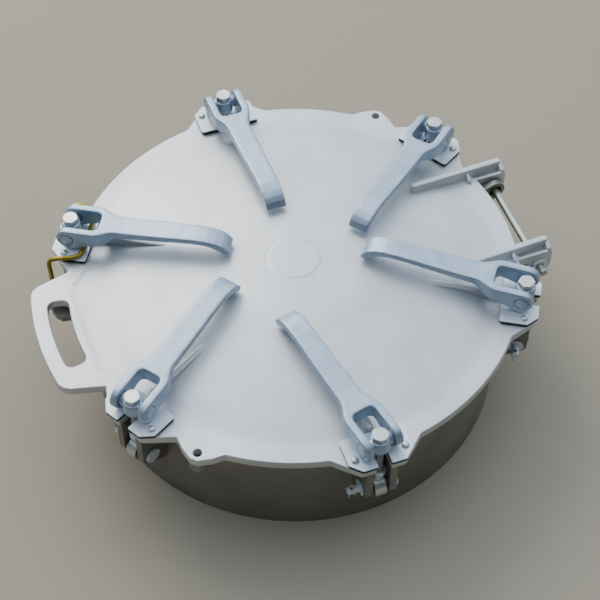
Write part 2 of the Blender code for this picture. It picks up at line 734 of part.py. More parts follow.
# ------------------------------------------------------------------- hinge, catch
def make_hinge(steel, zinc):
    end = ARM_OUT + GAP + WASHER_THICK + ROD_TAIL
    hole_at = end - ROD_TAIL / 2
    rod = cylinder(ROD_R, -end, end, 20, "X")
    holes = [cylinder(SPLIT_HOLE_R, -0.01, 0.01, 12, "Y", (s * hole_at, 0, 0)) for s in (-1, 1)]
    rod = combine(rod, joined(holes), "DIFFERENCE")
    place = Matrix.Translation((0, HINGE_Y, HINGE_Z))
    add_part("hinge_rod", rod, zinc, place)
    seat = ARM_OUT + GAP
    washer = turned([(ROD_R + FIT, WASHER_THICK), (WASHER_R, WASHER_THICK), (WASHER_R, 0),
                     (ROD_R + FIT, 0)], 20)
    split = make_split_pin(ROD_R, HINGE_SPLIT_LEG)
    outwards = Matrix.Rotation(math.pi / 2, 4, "X") @ turn_z(90)
    for side, word in ((-1, "left"), (1, "right")):
        turn = Matrix.Rotation(side * math.pi / 2, 4, "Y")
        spot = place @ Matrix.Translation((side * seat, 0, 0)) @ turn
        add_part(f"hinge_washer_{word}", moved(washer, Matrix()), zinc, spot)
        spot = place @ Matrix.Translation((side * hole_at, 0, 0)) @ outwards
        add_part(f"hinge_split_pin_{word}", moved(split, Matrix()), steel, spot)


def catch_path():
    """The wire's route at clamp 5: over the wear plate under the fork, out, down, and in
    under the neck's tab. Points are (outwards from the bolt axis, sideways, up)."""
    on_plate = PLATE_TOP + GAP + WIRE_R
    under = NECK_TOP - CATCH_TAB_TOP - CATCH_TAB_THICK - GAP - WIRE_R
    near = 0.0467
    rows = [(-0.003, -0.0440, on_plate - 0.001), (0.010, -0.0440, on_plate + 0.003),
            (0.000, -0.0440, on_plate + 0.006), (-0.011, -0.0425, on_plate + 0.003),
            (-0.0175, -0.036, on_plate), (-0.0195, -0.028, on_plate),
            (-0.0195, 0.026, on_plate), (-0.0175, 0.0335, on_plate),
            (-0.010, 0.0385, on_plate), (0.009, near - 0.003, on_plate),
            (0.0155, near - 0.0008, on_plate - 0.0012), (0.0185, near, on_plate - 0.006),
            (0.0190, near, on_plate - 0.012), (0.0190, near, under + 0.001),
            (0.0180, near + 0.0025, under - 0.0028), (0.0155, near + 0.0065, under - 0.0040),
            (0.0110, near + 0.0150, under - 0.0040)]
    turn = turn_z(360 / CLAMPS * 4)
    return [turn @ Vector((CLAMP_R + out, side, up)) for out, side, up in rows[1:]]


def make_catch(finish):
    add_part("safety_catch", wire(catch_path(), WIRE_R, 2), finish)


def main():
    clear_scene()
    collection(PARTS)
    collection(HELPERS, hidden=True)
    cast = material("cast_aluminium", (0.58, 0.61, 0.63), 0.45, 0.4)
    neck_finish = material("neck_aluminium", (0.30, 0.29, 0.26), 0.50, 0.5)
    forged = material("galvanised_casting", (0.45, 0.53, 0.62), 0.48, 0.5)
    zinc = material("bright_zinc", (0.62, 0.70, 0.74), 0.30, 0.8)
    steel = material("zinc_plated_steel", (0.60, 0.64, 0.66), 0.32, 0.9)
    rubber = material("black_rubber", (0.02, 0.02, 0.025), 0.75, 0.0)
    yellow = material("yellow_chromate", (0.52, 0.42, 0.08), 0.35, 0.6)
    make_neck(neck_finish)
    make_lid(cast)
    make_gasket(rubber)
    make_clamps(steel, forged, zinc, rubber)
    make_hinge(steel, zinc)
    make_catch(yellow)


main()
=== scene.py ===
# %% [markdown]
# # A hinged manhole cover
# The cover closes the round opening of a tank. A domed cast lid lies on a short neck, and
# six swing clamps press it down on a gasket. This file dresses the exact CAD model for
# looks. The CAD nodes and joints give the places and the main sizes, and the other sizes
# repeat the CAD model's own numbers.

# %% Load the CAD model
import json
import math

import bmesh
import bpy
import numpy as np
from mathutils import Matrix, Vector


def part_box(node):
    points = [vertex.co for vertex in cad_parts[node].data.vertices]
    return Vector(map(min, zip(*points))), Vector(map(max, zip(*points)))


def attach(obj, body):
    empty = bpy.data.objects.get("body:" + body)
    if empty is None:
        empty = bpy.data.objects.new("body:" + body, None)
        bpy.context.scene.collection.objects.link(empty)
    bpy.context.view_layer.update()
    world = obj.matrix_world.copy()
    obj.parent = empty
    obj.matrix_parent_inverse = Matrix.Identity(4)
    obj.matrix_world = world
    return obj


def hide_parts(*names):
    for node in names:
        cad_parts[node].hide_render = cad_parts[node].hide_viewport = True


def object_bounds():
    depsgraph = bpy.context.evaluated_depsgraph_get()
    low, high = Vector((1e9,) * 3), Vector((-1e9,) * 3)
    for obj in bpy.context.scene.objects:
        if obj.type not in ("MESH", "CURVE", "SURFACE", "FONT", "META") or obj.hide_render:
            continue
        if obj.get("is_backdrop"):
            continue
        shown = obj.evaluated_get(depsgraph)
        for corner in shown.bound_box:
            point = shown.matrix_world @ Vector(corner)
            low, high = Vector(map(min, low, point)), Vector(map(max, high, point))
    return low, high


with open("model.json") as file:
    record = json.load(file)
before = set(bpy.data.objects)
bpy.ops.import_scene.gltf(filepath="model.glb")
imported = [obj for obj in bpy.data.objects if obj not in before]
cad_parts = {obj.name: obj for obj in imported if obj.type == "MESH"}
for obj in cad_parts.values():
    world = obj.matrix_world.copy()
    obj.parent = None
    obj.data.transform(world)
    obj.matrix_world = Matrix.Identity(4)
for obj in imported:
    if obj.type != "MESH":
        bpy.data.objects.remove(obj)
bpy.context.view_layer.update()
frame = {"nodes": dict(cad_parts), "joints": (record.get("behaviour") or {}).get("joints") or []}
nodes = frame["nodes"]
joints = {joint["name"]: joint for joint in frame["joints"]}

# %% [markdown]
# ## Sizes
# A few heights and radii are read from the CAD boxes and from the joints. The rest are the
# sizes that the finishing pieces add, such as the radius that a cast edge is rounded to.

# %% Heights and radii from the CAD nodes
ROOT = "neck_and_lid"
CLAMPS = 6
GAP = 0.0003  # left between touching pieces in the CAD model
clamp_r = math.hypot(*joints["clamp_1_swing"]["pos_m"][:2])
trunnion_z = joints["clamp_1_lever"]["pos_m"][2]
pin_z = joints["clamp_1_swing"]["pos_m"][2]
pad_low, pad_high = (corner.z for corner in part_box("rubber_pad_1"))
plate_low, plate_high = (corner.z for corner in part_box("wear_plate_1"))
lid_top = pad_low - GAP
lid_r = clamp_r - 0.003
rim_low = 0.1571  # the underside of the lid's flat rim
hinge_low, hinge_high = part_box("hinge_rod")
hinge_y, hinge_z = (hinge_low.y + hinge_high.y) / 2, (hinge_low.z + hinge_high.z) / 2
print(f"lid radius {lid_r:.4f}, lid top {lid_top:.4f}, clamp circle {clamp_r:.4f}")

# %% Where each clamp stands
clamp_deg = [math.degrees(math.atan2(*reversed(joints[f"clamp_{i + 1}_swing"]["pos_m"][:2])))
             for i in range(CLAMPS)]
lever_deg = []
for i in range(CLAMPS):
    x, y, _ = joints[f"clamp_{i + 1}_lever"]["axis"]
    lever_deg.append(math.degrees(math.atan2(-x, y)))
at_clamp = [Matrix.Rotation(math.radians(a), 4, "Z") @ Matrix.Translation((clamp_r, 0, 0))
            for a in clamp_deg]
at_lever = [Matrix.Translation(joints[f"clamp_{i + 1}_lever"]["pos_m"])
            @ Matrix.Rotation(math.radians(lever_deg[i]), 4, "Z") for i in range(CLAMPS)]
print("lever yaw in degrees", [round(b - a, 1) for a, b in zip(clamp_deg, lever_deg)])

# %% [markdown]
# ## The camera, the floor and the light
# The camera stands high and to one side with a long lens, as a person looks down at a cover
# on the ground. Cast metal shows its form by the slow change of light over it. One large
# soft light behind the cover makes that, with surroundings that are bright behind and above
# and dim in front, so the top is even and the near side of the neck stays in shade.

# %% Camera
CAMERA_AT = (1.0630, -0.3743, 1.5666)
LOOKS_AT = (-0.0462, 0.0236, 0.0396)
camera = bpy.data.objects.new("camera", bpy.data.cameras.new("camera"))
camera.data.lens = 86.87
camera.data.sensor_width = 36
camera.location = CAMERA_AT
camera.rotation_mode = "QUATERNION"
camera.rotation_quaternion = (Vector(LOOKS_AT) - Vector(CAMERA_AT)).to_track_quat("-Z", "Y")
bpy.context.scene.collection.objects.link(camera)
bpy.context.scene.camera = camera
print("camera", tuple(camera.location))

# %% Colours and material nodes
def linear(hex_colour):
    """An sRGB hex colour as linear RGBA: each channel c becomes ((c + 0.055) / 1.055) ** 2.4,
    or c / 12.92 where it is very dark."""
    channels = [int(hex_colour[i:i + 2], 16) / 255 for i in (1, 3, 5)]
    return tuple(c / 12.92 if c <= 0.04045 else ((c + 0.055) / 1.055) ** 2.4
                 for c in channels) + (1,)


def add_node(tree, kind, links=None, values=None, **settings):
    """Adds a node, sets its settings and socket values, and links its sockets."""
    made = tree.nodes.new(kind)
    for name, value in settings.items():
        setattr(made, name, value)
    for name, value in (values or {}).items():
        made.inputs[name].default_value = value
    for name, socket in (links or {}).items():
        tree.links.new(socket, made.inputs[name])
    return made


def start_material(name, roughness, metallic):
    """A new Principled material, with its tree, its shader and Object coordinates."""
    made = bpy.data.materials.new(name)
    made.use_nodes = True
    tree = made.node_tree
    shader = tree.nodes["Principled BSDF"]
    shader.inputs["Roughness"].default_value = roughness
    shader.inputs["Metallic"].default_value = metallic
    place = add_node(tree, "ShaderNodeTexCoord").outputs["Object"]
    return made, tree, shader, place


def mottle(tree, place, scale, detail, low, high, colours):
    """Noise of a real scale (patterns per metre) through a ramp between colours."""
    noise = add_node(tree, "ShaderNodeTexNoise", {"Vector": place},
                     {"Scale": scale, "Detail": detail, "Roughness": 0.55})
    ramp = add_node(tree, "ShaderNodeValToRGB", {"Fac": noise.outputs["Fac"]})
    ramp.color_ramp.elements[0].position = low
    ramp.color_ramp.elements[1].position = high
    ramp.color_ramp.elements[0].color = linear(colours[0])
    ramp.color_ramp.elements[1].color = linear(colours[1])
    return noise, ramp


print("white is", linear("#ffffff"))

# %% Floor and lights
FLOOR_HALF = 6.0
BRIGHT_SIDE = (-0.66, 0.14, 0.74)  # the unit direction that the surroundings are brightest in
floor_mesh = bpy.data.meshes.new("floor")
corners = FLOOR_HALF * np.array([(-1, -1, 0), (1, -1, 0), (1, 1, 0), (-1, 1, 0)], float)
floor_mesh.from_pydata(corners.tolist(), [], [(0, 1, 2, 3)])
floor = bpy.data.objects.new("floor", floor_mesh)
bpy.context.scene.collection.objects.link(floor)
floor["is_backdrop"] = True
paint, tree, shader, place = start_material("screed_floor", 0.85, 0.0)
shader.inputs["Base Color"].default_value = linear("#a29a87")
floor_mesh.materials.append(paint)


def area_light(name, place, target, size, power, colour):
    """A square soft light at a place, turned to a target."""
    light = bpy.data.lights.new(name, "AREA")
    light.size, light.energy = size, power
    light.color = linear(colour)[:3]
    lamp = bpy.data.objects.new(name, light)
    lamp.location = place
    lamp.rotation_mode = "QUATERNION"
    lamp.rotation_quaternion = (Vector(target) - Vector(place)).to_track_quat("-Z", "Y")
    bpy.context.scene.collection.objects.link(lamp)
    return lamp


area_light("sky_window", (-2.6, -0.6, 2.6), (0, 0, 0.1), 2.1, 78, "#fff6e8")
world = bpy.data.worlds.new("studio")
world.use_nodes = True
sky = world.node_tree
direction = add_node(sky, "ShaderNodeTexCoord").outputs["Generated"]
facing = add_node(sky, "ShaderNodeVectorMath", {0: direction}, {1: BRIGHT_SIDE},
                  operation="DOT_PRODUCT")
strength = add_node(sky, "ShaderNodeMapRange", {"Value": facing.outputs["Value"]},
                    {"From Min": -0.1, "From Max": 0.95, "To Min": 0.06, "To Max": 1.95},
                    interpolation_type="SMOOTHSTEP")
background = sky.nodes["Background"]
background.inputs["Color"].default_value = linear("#dce8f8")
sky.links.new(strength.outputs["Result"], background.inputs["Strength"])
bpy.context.scene.world = world

# %% [markdown]
# ## The finishes
# Eight finishes make this cover. The lid and the neck are cast aluminium, a pale metal with
# a fine sandy skin from the mould. The neck's copy is darker: painted shade, for a neck whose
# side stands in the cover's shade. The levers are forged steel dipped in molten zinc, which
# freezes to a bluish grey coat with faint patches. The plates and pins are electroplated with
# bright zinc, which is thin, smooth and a little blue. The bolts' zinc is greyer, and the hinge
# rod's has turned faintly green. The safety wire has the yellow chromate that zinc plate is
# dipped in against rust. Pads and gasket are black rubber.

# %% Sand-cast aluminium, shot-blasted: pale, with a fine grain and slow patches
def cast_aluminium(name, colours, roughness, grain_mm, grain_height):
    """Slow patches about 60 mm wide tint the metal, and a fine grain roughens it."""
    made, tree, shader, place = start_material(name, roughness, 0.72)
    _, patches = mottle(tree, place, 1 / 0.06, 3, 0.35, 0.65, colours)
    tree.links.new(patches.outputs["Color"], shader.inputs["Base Color"])
    grain = add_node(tree, "ShaderNodeTexNoise", {"Vector": place},
                     {"Scale": 1000 / grain_mm, "Detail": 3.0, "Roughness": 0.6})
    wear = add_node(tree, "ShaderNodeMapRange", {"Value": grain.outputs["Fac"]},
                    {"To Min": roughness - 0.07, "To Max": roughness + 0.09})
    tree.links.new(wear.outputs["Result"], shader.inputs["Roughness"])
    bump = add_node(tree, "ShaderNodeBump", {"Height": grain.outputs["Fac"]},
                    {"Strength": 0.35, "Distance": grain_height})
    tree.links.new(bump.outputs["Normal"], shader.inputs["Normal"])
    return made


lid_finish = cast_aluminium("sand_cast_aluminium", ("#c8cccf", "#d3d7d9"), 0.48, 2.4, 0.0004)
# The neck's colours are darker than the lid's: painted shade, as the neck's side stands in shade.
neck_painted_shade = cast_aluminium("aluminium_painted_shade", ("#84827d", "#94918b"), 0.50, 3.0, 0.0004)
print("made", lid_finish.name, neck_painted_shade.name)

# %% Hot-dip galvanised forging: bluish grey zinc that froze in soft patches
galvanised, tree, shader, place = start_material("galvanised_forging", 0.42, 0.75)
patches, tint = mottle(tree, place, 1 / 0.014, 4, 0.32, 0.70, ("#9fb1c2", "#b1c1d0"))
tree.links.new(tint.outputs["Color"], shader.inputs["Base Color"])
sheen = add_node(tree, "ShaderNodeMapRange", {"Value": patches.outputs["Fac"]},
                 {"To Min": 0.40, "To Max": 0.50})
tree.links.new(sheen.outputs["Result"], shader.inputs["Roughness"])
forge = add_node(tree, "ShaderNodeTexNoise", {"Vector": place},
                 {"Scale": 1 / 0.0045, "Detail": 3.0, "Roughness": 0.55})
bump = add_node(tree, "ShaderNodeBump", {"Height": forge.outputs["Fac"]},
                {"Strength": 0.2, "Distance": 0.0004})
tree.links.new(bump.outputs["Normal"], shader.inputs["Normal"])
print("made", galvanised.name)

# %% Bright zinc plate: thin and smooth, with faint cloudy staining
def zinc_plate(name, colours, roughness, metallic=0.85):
    """Clouds about 12 mm wide change the tint and the gloss a little."""
    made, tree, shader, place = start_material(name, roughness, metallic)
    clouds, tint = mottle(tree, place, 1 / 0.012, 3, 0.3, 0.7, colours)
    tree.links.new(tint.outputs["Color"], shader.inputs["Base Color"])
    gloss = add_node(tree, "ShaderNodeMapRange", {"Value": clouds.outputs["Fac"]},
                     {"To Min": roughness - 0.05, "To Max": roughness + 0.08})
    tree.links.new(gloss.outputs["Result"], shader.inputs["Roughness"])
    return made


bright_zinc = zinc_plate("bright_zinc_plate", ("#dae7f0", "#e6eff5"), 0.42, 0.35)
plated_steel = zinc_plate("zinc_plated_steel", ("#bcc2c4", "#d3d7d8"), 0.36)
rod_zinc = zinc_plate("greenish_zinc_rod", ("#a3aba0", "#b9c0b4"), 0.42)
yellow_chromate = zinc_plate("yellow_chromate_zinc", ("#8c7b2a", "#ac9a3c"), 0.36)
print("made", bright_zinc.name, plated_steel.name, rod_zinc.name, yellow_chromate.name)

# %% Moulded black rubber: matt, with a faint dust bloom
rubber, tree, shader, place = start_material("black_rubber", 0.78, 0.0)
_, bloom = mottle(tree, place, 1 / 0.008, 3, 0.4, 0.75, ("#17181a", "#26282a"))
tree.links.new(bloom.outputs["Color"], shader.inputs["Base Color"])
print("made", rubber.name)

# %% [markdown]
# ## Surfaces from arrays
# Most pieces here are made the same way. A formula gives a grid of points, numpy works out
# the whole grid at once, and the mesh takes it. Two kinds of grid are enough: a profile
# turned about an axis, and an outline with a rounded edge and a flat top and bottom.

# %% A grid of points as a piece
def show(name, mesh, finish, body, slot, *replaced, smooth_deg=38):
    """Puts a mesh in the scene as a piece that rides on a body and replaces CAD nodes."""
    mesh.materials.clear()
    mesh.materials.append(finish)
    mesh.shade_smooth()
    mesh.set_sharp_from_angle(angle=math.radians(smooth_deg))
    piece = bpy.data.objects.new(name, mesh)
    bpy.context.scene.collection.objects.link(piece)
    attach(piece, body)
    if replaced:
        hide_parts(*replaced)
    return piece


def tidy(mesh, outward=True):
    """Merges points that coincide, at poles and seams, and turns the faces outwards."""
    shape = bmesh.new()
    shape.from_mesh(mesh)
    bmesh.ops.remove_doubles(shape, verts=shape.verts, dist=2e-6)
    if outward:
        bmesh.ops.recalc_face_normals(shape, faces=shape.faces)
    shape.to_mesh(mesh)
    shape.free()
    return mesh


def grid_faces(rows, columns, close_rows=False, close_columns=True):
    """Corner numbers of the quads of a grid: (i, j), (i, j + 1), (i + 1, j + 1), (i + 1, j).
    A closed direction joins its last line of points to its first."""
    i, j = np.meshgrid(np.arange(rows - (not close_rows)),
                       np.arange(columns - (not close_columns)), indexing="ij")
    after_i, after_j = (i + 1) % rows, (j + 1) % columns
    return np.stack([i * columns + j, i * columns + after_j,
                     after_i * columns + after_j, after_i * columns + j], -1).reshape(-1, 4)


def mesh_of(name, points, faces):
    """A mesh with these points and quads, written as whole arrays."""
    mesh = bpy.data.meshes.new(name)
    mesh.vertices.add(len(points))
    mesh.vertices.foreach_set("co", np.asarray(points, np.float32).ravel())
    mesh.loops.add(faces.size)
    mesh.loops.foreach_set("vertex_index", faces.astype(np.int32).ravel())
    mesh.polygons.add(len(faces))
    mesh.polygons.foreach_set("loop_start", np.arange(0, faces.size, 4, dtype=np.int32))
    mesh.update(calc_edges=True)
    mesh.validate()
    return mesh


def turned(name, profile, steps=64, matrix=None, closed=False):
    """A profile of (radius, height) turned about Z: (r cos a, r sin a, h). A profile that
    comes back to its start makes a ring; one that starts and ends at radius 0 a solid."""
    profile = np.asarray(profile, float)
    angle = np.arange(steps) * 2 * np.pi / steps
    points = np.stack([profile[:, :1] * np.cos(angle), profile[:, :1] * np.sin(angle),
                       np.repeat(profile[:, 1:], steps, 1)], -1).reshape(-1, 3)
    mesh = tidy(mesh_of(name, points, grid_faces(len(profile), steps, close_rows=closed)))
    if matrix is not None:
        mesh.transform(matrix)
    return mesh


def rounded_bar(radius, low, high, edge, steps=4):
    """The profile of a round bar with rounded edges, as (radius, height) points."""
    a = np.linspace(0, np.pi / 2, steps)
    bottom = np.stack([radius - edge + edge * np.sin(a), low + edge - edge * np.cos(a)], -1)
    top = np.stack([radius - edge + edge * np.cos(a), high - edge + edge * np.sin(a)], -1)
    return np.vstack([[(0, low)], bottom, top, [(0, high)]])


def together(name, *meshes):
    """Several meshes as one."""
    shape = bmesh.new()
    for mesh in meshes:
        shape.from_mesh(mesh)
        bpy.data.meshes.remove(mesh)
    made = bpy.data.meshes.new(name)
    shape.to_mesh(made)
    shape.free()
    return made


def keep_flat(piece):
    """Large faces keep their own direction where they meet a rounded edge."""
    piece.modifiers.new("flat faces stay flat", "WEIGHTED_NORMAL").keep_sharp = True


print("a small grid has", len(grid_faces(3, 4)), "quads")

# %% [markdown]
# ## Flat plates with rounded edges
# The lid's rim, the wear plates and the rubber pads are all flat plates. A cast or cut plate
# never has a razor edge, and the bright line along a rounded edge is what the eye reads as
# thickness. So the edge's profile is carried round the outline, and then the flat top and
# bottom are filled.

# %% Rounding the corners of an outline, and giving it a rounded edge
def rounded_corners(corners, radii, steps=5):
    """Each corner becomes a short arc: a parabola from one side to the other that touches
    both at radius * tan(half the turn) from the corner, or less where a side is short."""
    corners = np.asarray(corners, float)
    before, after = np.roll(corners, 1, 0) - corners, np.roll(corners, -1, 0) - corners
    short = np.minimum(np.linalg.norm(before, axis=1), np.linalg.norm(after, axis=1))
    before /= np.linalg.norm(before, axis=1)[:, None]
    after /= np.linalg.norm(after, axis=1)[:, None]
    turn = np.pi - np.arccos(np.clip((before * after).sum(1), -1, 1))
    reach = np.minimum(np.asarray(radii, float) * np.tan(turn / 2), short * 0.48)
    t = np.linspace(0, 1, steps)[None, :, None]
    start, end = corners + before * reach[:, None], corners + after * reach[:, None]
    arcs = ((1 - t) ** 2 * start[:, None] + 2 * t * (1 - t) * corners[:, None]
            + t ** 2 * end[:, None])
    points = arcs.reshape(-1, 2)
    apart = np.linalg.norm(points - np.roll(points, 1, 0), axis=1)
    return points[apart > 2e-5]


def inward(loop):
    """The unit normal to the left of an anticlockwise outline, at each of its points."""
    along = np.roll(loop, -1, 0) - np.roll(loop, 1, 0)
    along /= np.linalg.norm(along, axis=1)[:, None]
    return np.stack([-along[:, 1], along[:, 0]], -1)


def plate(name, outline, holes, low, high, edge, parting=0.0):
    """A plate of any outline. The side is a grid: at each point of the outline, a profile of
    (inset, height) goes round the top edge, down the side and round the bottom edge."""
    a = np.linspace(0, np.pi / 2, 4)
    inset = edge * (1 - np.sin(a))
    rise = edge * (1 - np.cos(a))
    middle = (low + high) / 2
    rows = [(d, high - e) for d, e in zip(inset, rise)]
    if parting:
        rows += [(0, middle + 2 * parting), (-parting, middle), (0, middle - 2 * parting)]
    rows += [(d, low + e) for d, e in zip(inset[::-1], rise[::-1])]
    rows = np.array(rows)
    shape = bmesh.new()
    rims = {0: [], 1: []}
    for loop, side in [(outline, 1)] + [(hole, -1) for hole in holes]:
        loop = np.asarray(loop, float)
        normal = inward(loop) * side
        flat = loop[None] + rows[:, 0, None, None] * normal[None]
        heights = np.broadcast_to(rows[:, 1, None, None], flat.shape[:2] + (1,))
        wall = np.concatenate([flat, heights], -1)
        shape.from_mesh(mesh_of(name, wall.reshape(-1, 3), grid_faces(len(rows), len(loop))))
    for edge_line in shape.edges:
        if edge_line.is_boundary:
            top = edge_line.verts[0].co.z > middle
            rims[int(top)].append(edge_line)
    for rim in rims.values():
        bmesh.ops.triangle_fill(shape, edges=rim, use_beauty=True)
    bmesh.ops.recalc_face_normals(shape, faces=shape.faces)
    made = bpy.data.meshes.new(name)
    shape.to_mesh(made)
    shape.free()
    return made


def circle(radius, centre=(0, 0), steps=32):
    """Points on a circle: centre + radius * (cos a, sin a)."""
    angle = np.arange(steps) * 2 * np.pi / steps
    return np.stack([centre[0] + radius * np.cos(angle), centre[1] + radius * np.sin(angle)], -1)


square = rounded_corners([(0, 0), (1, 0), (1, 1), (0, 1)], 0.1)
print("a rounded square has", len(square), "points")

# %% [markdown]
# ## The lid's rim
# The rim is a flat ring with lugs at the clamps, two ears with a hole, and a handle. Its
# outline is worked out as a radius for each angle: the furthest of the circle and of the
# straight-sided shapes that stand out of it. The slots for the clamps cut into it.

# %% The rim's outline
def polar(radius, degrees):
    """The point at a radius and an angle: (r cos a, r sin a)."""
    turn = np.radians(degrees)
    return np.stack([radius * np.cos(turn), radius * np.sin(turn)], -1)


def mirrored(half):
    """An outline from its upper half, mirrored below the X axis."""
    half = np.asarray(half, float)
    return np.vstack([half, half[::-1] * (1, -1)])


def turn_flat(points, degrees):
    """Points turned about the centre: (x cos a - y sin a, x sin a + y cos a)."""
    c, s = math.cos(math.radians(degrees)), math.sin(math.radians(degrees))
    return np.asarray(points) @ np.array([(c, s), (-s, c)])


def furthest(outline, degrees):
    """How far a ray from the centre runs before it leaves a convex outline: the largest
    t with t d = a + u (b - a) on one of its sides, or 0 where the ray misses it."""
    d = polar(1.0, degrees)[:, None]
    a, side = outline[None], (np.roll(outline, -1, 0) - outline)[None]
    slope = d[..., 0] * side[..., 1] - d[..., 1] * side[..., 0]
    slope = np.where(np.abs(slope) < 1e-9, 1e-9, slope)
    t = (a[..., 0] * side[..., 1] - a[..., 1] * side[..., 0]) / slope
    u = (a[..., 0] * d[..., 1] - a[..., 1] * d[..., 0]) / slope
    return np.where((u >= -1e-6) & (u <= 1 + 1e-6), t, 0).max(1)


LUG_ROOT_HALF, LUG_SHOULDER, LUG_FACE = 0.0555, (0.008, 0.041), (0.0205, 0.0265)
EARS_DEG, EAR_HOLE_R, EAR_HOLE_OUT, EAR_TIP_OUT = (138.0, 318.0), 0.005, 0.0075, 0.0178
HANDLE_R, HANDLE_BEND, HANDLE_ROOT = 0.3255, 12.4, 19.0
SLOT_HALF, SLOT_DEPTH = 0.009, 0.013
inner_r = lid_r - 0.03
lug = mirrored([(lid_r + LUG_FACE[0], LUG_FACE[1]), (lid_r + LUG_SHOULDER[0], LUG_SHOULDER[1]),
                (math.sqrt(lid_r ** 2 - LUG_ROOT_HALF ** 2), LUG_ROOT_HALF),
                (inner_r, LUG_ROOT_HALF)])
ear = mirrored([(lid_r + EAR_TIP_OUT, 0.0045), (lid_r + EAR_TIP_OUT - 0.009, 0.0190),
                polar(lid_r - 0.0006, 6.2), polar(inner_r, 6.2)])
bend = np.linspace(0, HANDLE_BEND, 7)[1:]
handle = mirrored(np.vstack([polar(HANDLE_R, bend), polar(HANDLE_R - 0.0028, HANDLE_BEND + 1.4),
                             polar(HANDLE_R - 0.0095, HANDLE_BEND + 2.5),
                             polar(lid_r - 0.0002, HANDLE_ROOT), polar(inner_r, HANDLE_ROOT)]))
shapes = ([turn_flat(lug, a) for a in clamp_deg] + [turn_flat(ear, a) for a in EARS_DEG]
          + [turn_flat(handle, 270)])
corners = np.vstack(shapes)
corner_deg = np.degrees(np.arctan2(corners[:, 1], corners[:, 0]))
corner_deg = corner_deg[np.hypot(corners[:, 0], corners[:, 1]) > lid_r - 0.001] % 360
even = np.arange(0, 360, 2.0)
near = np.abs((even[:, None] - corner_deg[None] + 180) % 360 - 180).min(1) < 1.2
slot_turn = math.degrees(math.asin(SLOT_HALF / (lid_r + LUG_FACE[0])))
angles = np.unique(np.round(np.concatenate([even[~near], corner_deg]), 3))
from_clamp = np.abs((angles[:, None] - np.array(clamp_deg)[None] + 180) % 360 - 180).min(1)
angles = angles[from_clamp > slot_turn + 0.5]
radius = np.maximum(lid_r, np.max([furthest(shape, angles) for shape in shapes], 0))
print("rim outline", len(angles), "angles, radius", radius.min().round(4), radius.max().round(4))

# %% The rim with its slots and holes
slot_ends = np.array([(lid_r + LUG_FACE[0], -SLOT_HALF), (clamp_r - SLOT_DEPTH, -SLOT_HALF),
                      (clamp_r - SLOT_DEPTH, SLOT_HALF), (lid_r + LUG_FACE[0], SLOT_HALF)])
outline = list(zip(angles, polar(radius[:, None], angles[:, None])[:, 0], [0.004] * len(angles)))
for a in clamp_deg:
    placed = turn_flat(slot_ends, a)
    order = a % 360 + np.array([-1, -0.5, 0.5, 1]) * slot_turn
    outline += [(key, point, 0.0015) for key, point in zip(order, placed)]
outline = [(key % 360 if key < 359 else key - 360, point, r) for key, point, r in outline]
outline.sort(key=lambda entry: entry[0])
rim_line = rounded_corners([point for _, point, _ in outline], [r for _, _, r in outline])

HANDLE_SLOT, HANDLE_SLOT_DEG = (0.0002, 0.0265), 9.9
reach = np.array([-1, -0.56, -0.28, 0, 0.28, 0.56, 1]) * HANDLE_SLOT_DEG
finger_slot = rounded_corners(
    np.vstack([polar(lid_r + HANDLE_SLOT[1], 270 + reach),
               polar(lid_r + HANDLE_SLOT[0], 270 - reach)]),
    [0.0115 if i in (0, 6, 7, 13) else 0.02 for i in range(14)], 9)
ear_holes = [circle(EAR_HOLE_R, polar(lid_r + EAR_HOLE_OUT, a)) for a in EARS_DEG]
well = circle(0.2465, steps=120)
RIM_EDGE, PARTING = 0.0013, 0.00025  # the cast edge's radius and the parting line's rise
rim = plate("lid_rim", rim_line, [finger_slot, *ear_holes, well], rim_low, lid_top,
            RIM_EDGE, PARTING)
keep_flat(show("lid_rim", rim, lid_finish, ROOT, "cast_lid", "lid"))
print("rim", len(rim.polygons), "faces")

# %% [markdown]
# ## The dome
# The middle of the lid swells by about 22 mm, which makes a thin casting stiff. A shallow
# bowl like this is a parabola turned about the axis, and its foot runs out softly into the
# flat rim. A round boss half a millimetre high in the middle is where the mould was fed.

# %% The dome
DOME_R, DOME_RISE, DOME_WALL, BOSS_R, BOSS_RISE = 0.255, 0.0225, 0.008, 0.032, 0.0006
BLEND = (0.225, 0.262)  # the bowl runs out into the flat rim between these radii


def dome_z(radius):
    """A parabola h (1 - (r / R) ** 2) out to the blend. From there a cubic leaves it with
    the same height and slope, and lies flat at the blend's outer radius."""
    r = np.asarray(radius, float)
    bowl = DOME_RISE * (1 - (r / DOME_R) ** 2)
    height = DOME_RISE * (1 - (BLEND[0] / DOME_R) ** 2)
    slope = -2 * DOME_RISE * BLEND[0] / DOME_R ** 2 * (BLEND[1] - BLEND[0])
    t = np.clip((r - BLEND[0]) / (BLEND[1] - BLEND[0]), 0, 1)
    run_out = height * (2 * t ** 3 - 3 * t ** 2 + 1) + slope * (t ** 3 - 2 * t ** 2 + t)
    return lid_top + np.where(r < BLEND[0], bowl, run_out)


r = np.concatenate([np.linspace(0, BOSS_R - 0.005, 6),
                    np.linspace(BOSS_R - 0.003, BOSS_R + 0.003, 9),
                    np.linspace(BOSS_R + 0.006, BLEND[0], 34), np.linspace(*BLEND, 14)[1:]])
outer = dome_z(r) + BOSS_RISE * 0.5 * (1 - np.tanh((r - BOSS_R) / 0.0012))
outer -= 0.00005 * (r > BLEND[0] + 0.02)
under_r = np.linspace(BLEND[1], 0, 24)
under = lid_top + DOME_RISE * (1 - (under_r / DOME_R) ** 2) - DOME_WALL
dome_line = np.vstack([np.stack([r, outer], -1), np.stack([under_r, under], -1)])
dome = turned("lid_dome", dome_line, 180)
show("lid_dome", dome, lid_finish, ROOT, "cast_lid")
print("dome", len(dome.polygons), "faces, top at", round(float(outer.max()), 4))

# %% [markdown]
# ## Ribs
# A rib runs from each clamp towards the middle and sinks into the dome. It is cast with
# a round back, round ends and a small fillet at its foot, so light slides over it.

